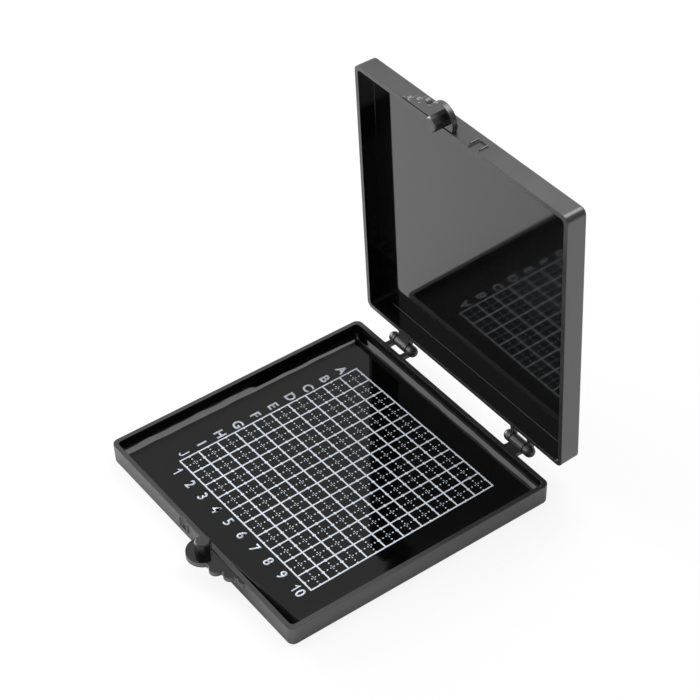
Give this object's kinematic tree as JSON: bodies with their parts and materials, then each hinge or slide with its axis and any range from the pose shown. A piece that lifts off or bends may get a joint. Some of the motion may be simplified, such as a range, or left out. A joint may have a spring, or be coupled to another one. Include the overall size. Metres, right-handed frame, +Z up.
{
  "type": "hinged gel carrier box",
  "caption": "Shallow black hinged box with a matching lid, peg latches and a clear gel membrane over a printed locating grid, for holding small chips.",
  "frame": {"origin": "middle of the base's underside, the face the box rests on", "axes": "+Z up, +Y from the latch wall to the hinge wall, +X to the right seen from the latch side"},
  "size_m": [0.054, 0.0633, 0.0634],
  "materials": {
    "base_plastic": "fine satin moulded, carbon filled black",
    "lid_plastic": "fine satin outside, polished inside, carbon filled black",
    "film": "smooth black film",
    "ink": "white printed ink",
    "gel": "clear, glossy, tacky silicone gel"
  },
  "bodies": {
    "base": {"base_tray": "base_plastic", "grid_film": "film", "grid_print": "ink", "gel_membrane": "gel"},
    "lid": {"lid": "lid_plastic"}
  },
  "joints": [
    {"name": "lid_hinge", "type": "hinge", "parent": "base", "child": "lid", "pos_m": [0, 0.0287, 0.00405], "axis": [-1, 0, 0], "range_deg": [-88.5, 91.5]}
  ]
}
